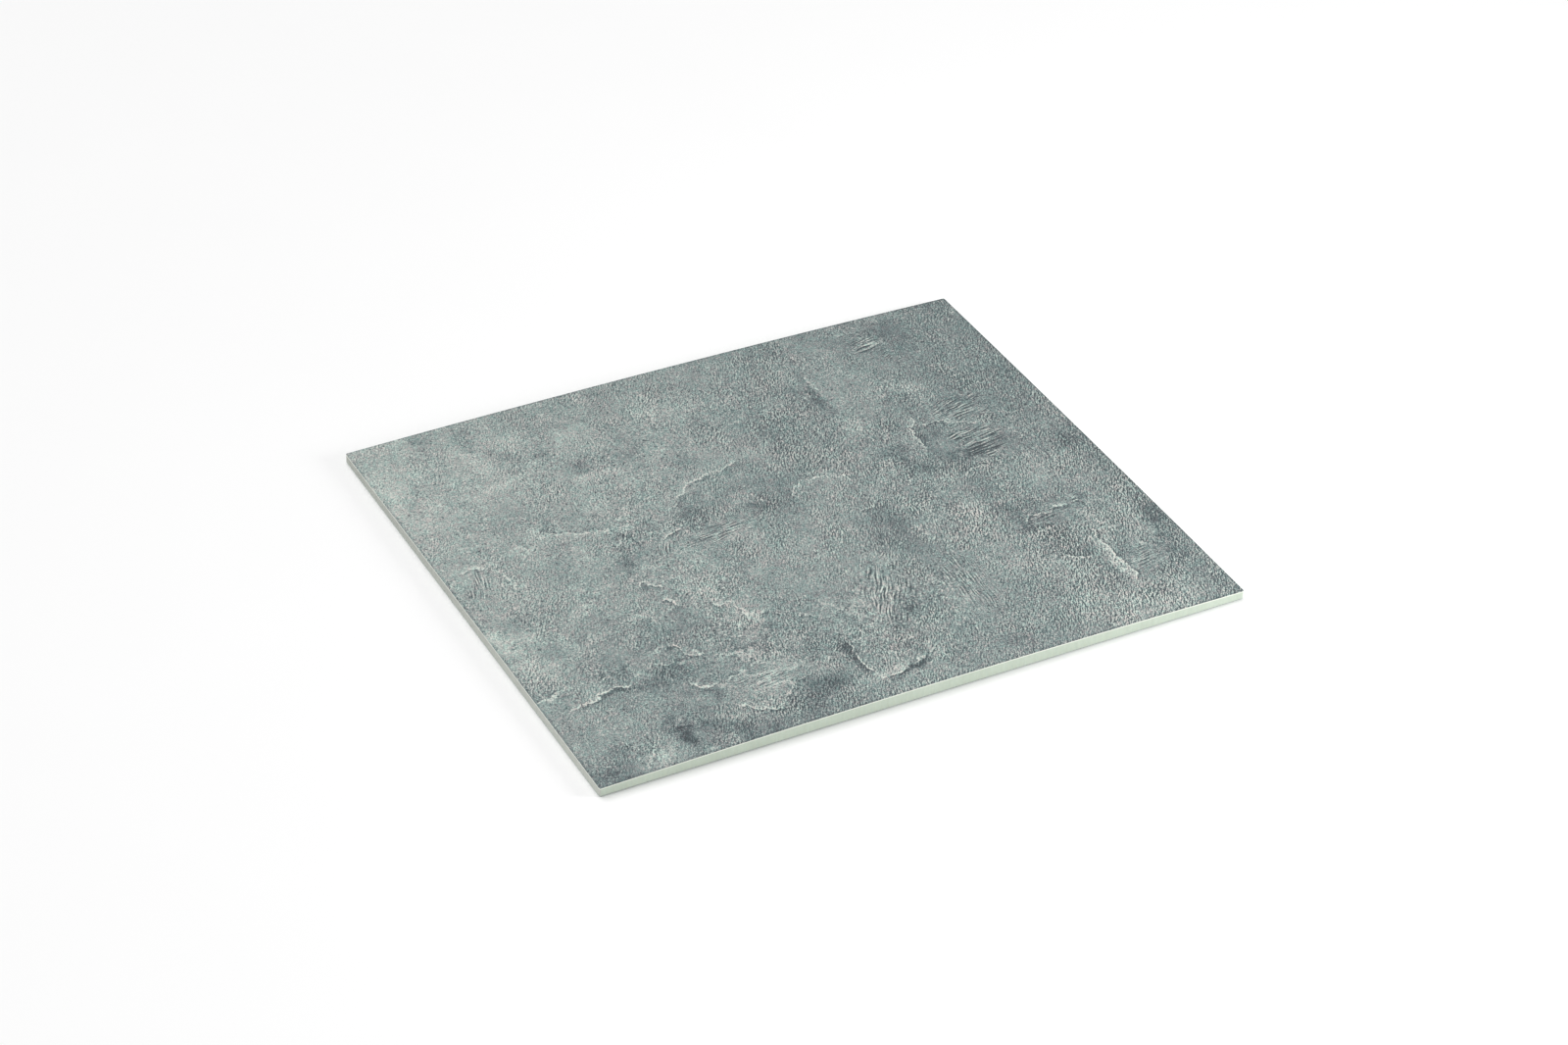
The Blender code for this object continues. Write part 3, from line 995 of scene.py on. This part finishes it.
def backing_material():
    s = Shader("woven_backing")
    axes = s.axes()
    along = s.math("SINE", s.times(axes["X"], 2 * math.pi / THREAD))
    across = s.math("SINE", s.times(axes["Y"], 2 * math.pi / THREAD))
    weave = s.times(along, across)
    cloudy = s.noise(12.0, detail=4.0, seed=10.0)
    tone = s.add(0.5, s.times(cloudy, 0.7), s.times(weave, 0.12))
    s.bump(s.add(s.times(weave, 0.04), s.times(cloudy, 0.05)))
    s.set(Base_Color=s.between(tone, *BACKING_GREEN), Roughness=s.add(0.75, s.times(cloudy, 0.2)))
    return s.material


def floor_material():
    s = Shader("pale_floor")
    cloudy = s.noise(60.0, detail=3.0, seed=12.0)
    shade = s.add(0.5, s.times(cloudy, 0.4))
    darker, lighter = FLOOR_SHADES
    s.set(Base_Color=s.ramp(shade, [(0.0, (darker,) * 3), (1.0, (lighter,) * 3)]), Roughness=0.9)
    return s.material


# -------------------------------------------------------------------------------------- pieces
def dress(piece, node, material):
    """Gives a piece its material, and has it stand for one CAD layer."""
    piece.data.materials.append(material)
    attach(piece, "root")
    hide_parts(node)


def build_layers():
    facing_seat = (SEAT_WIDTH, level(BASE_TOP - SEAT_DEPTH))
    core_seat = (SEAT_WIDTH, level(CORE_TOP - SEAT_DEPTH))
    dress(embossed_facing("facing"), "stone_facing", stone_material())
    base = plain_layer(
        "base_layer",
        [facing_seat, (0.0, level(BASE_TOP)), (0.0, level(CORE_TOP)), core_seat],
    )
    dress(base, "white_base_layer", base_material())
    core = plain_layer("core", [core_seat, (0.0, level(CORE_TOP)), (0.0, flat(BACKING_TOP))])
    dress(core, "core_slab", core_material())
    backing = plain_layer(
        "backing",
        [(0.0, flat(BACKING_TOP)), (0.0, flat(UNDER_CHAMFER)), (UNDER_CHAMFER, flat(0.0))],
    )
    dress(backing, "backing_sheet", backing_material())


# -------------------------------------------------------------------------------- camera, light
CAMERA_AIM = Vector((0.0011, 0.0048, 0.0))
CAMERA_SIDE = 29.98  # degrees that the camera stands to the left of the slab's front
CAMERA_RISE = 35.76  # degrees above the bench
CAMERA_ROLL = 2.89
CAMERA_DISTANCE = 1.633
FOCAL_LENGTH = 87.75  # mm, as is the sensor's width
SENSOR = 36.0

# Places and sizes of the lights and the floor, in metres
KEY_PLACE = (-0.4, 0.9, 1.8)
KEY_SPREAD = math.radians(65)
KEY_ENERGY = 2.02
FILL_PLACE = (0.5, -0.45, 0.26)
FILL_SIZE = 0.3
FILL_ENERGY = 2.25
SKY_STRENGTH = 0.39
FLOOR_HALF = 6.0
FLOOR_DROP = 0.0002  # keeps the floor clear of the slab's underside


def add_camera():
    side, rise = math.radians(CAMERA_SIDE), math.radians(CAMERA_RISE)
    away = Vector((-math.sin(side) * math.cos(rise), -math.cos(side) * math.cos(rise), math.sin(rise)))
    camera = bpy.data.objects.new("camera", bpy.data.cameras.new("camera"))
    camera.data.sensor_width = SENSOR
    camera.data.lens = FOCAL_LENGTH
    camera.data.clip_start = 0.01
    turn = away.to_track_quat("Z", "Y").to_matrix().to_4x4()
    roll = Matrix.Rotation(math.radians(CAMERA_ROLL), 4, "Z")
    camera.matrix_world = Matrix.Translation(CAMERA_AIM + CAMERA_DISTANCE * away) @ turn @ roll
    bpy.context.scene.collection.objects.link(camera)
    bpy.context.scene.camera = camera


def add_lamp(light, place):
    """A lamp at a place, turned to the slab."""
    lamp = bpy.data.objects.new(light.name, light)
    lamp.location = place
    lamp.rotation_euler = Vector(place).to_track_quat("Z", "Y").to_euler()
    bpy.context.scene.collection.objects.link(lamp)


def add_key_light():
    """A wide soft light from behind, on the left, as even on the far floor as on the slab."""
    light = bpy.data.lights.new("key", "SUN")
    light.angle = KEY_SPREAD
    light.energy = KEY_ENERGY
    add_lamp(light, KEY_PLACE)


def add_fill_light():
    """A small light near the front right corner, mostly on the front side."""
    light = bpy.data.lights.new("fill", "AREA")
    light.shape = "DISK"
    light.size = FILL_SIZE
    light.energy = FILL_ENERGY
    add_lamp(light, FILL_PLACE)


def add_sky():
    """An even white light from all around."""
    world = bpy.data.worlds.new("studio")
    world.use_nodes = True
    background = world.node_tree.nodes["Background"]
    background.inputs["Color"].default_value = (1.0, 1.0, 1.0, 1.0)
    background.inputs["Strength"].default_value = SKY_STRENGTH
    bpy.context.scene.world = world


def add_floor():
    """A wide, plain, pale floor."""
    corners = [(-1, -1), (1, -1), (1, 1), (-1, 1)]
    mesh = bpy.data.meshes.new("floor")
    mesh.from_pydata([(FLOOR_HALF * x, FLOOR_HALF * y, 0.0) for x, y in corners], [], [(0, 1, 2, 3)])
    mesh.materials.append(floor_material())
    floor = bpy.data.objects.new("floor", mesh)
    floor.location.z = -FLOOR_DROP
    bpy.context.scene.collection.objects.link(floor)


build_layers()
add_floor()
add_sky()
add_key_light()
add_fill_light()
add_camera()
bpy.context.scene.view_settings.view_transform = "Standard"

bpy.context.view_layer.update()
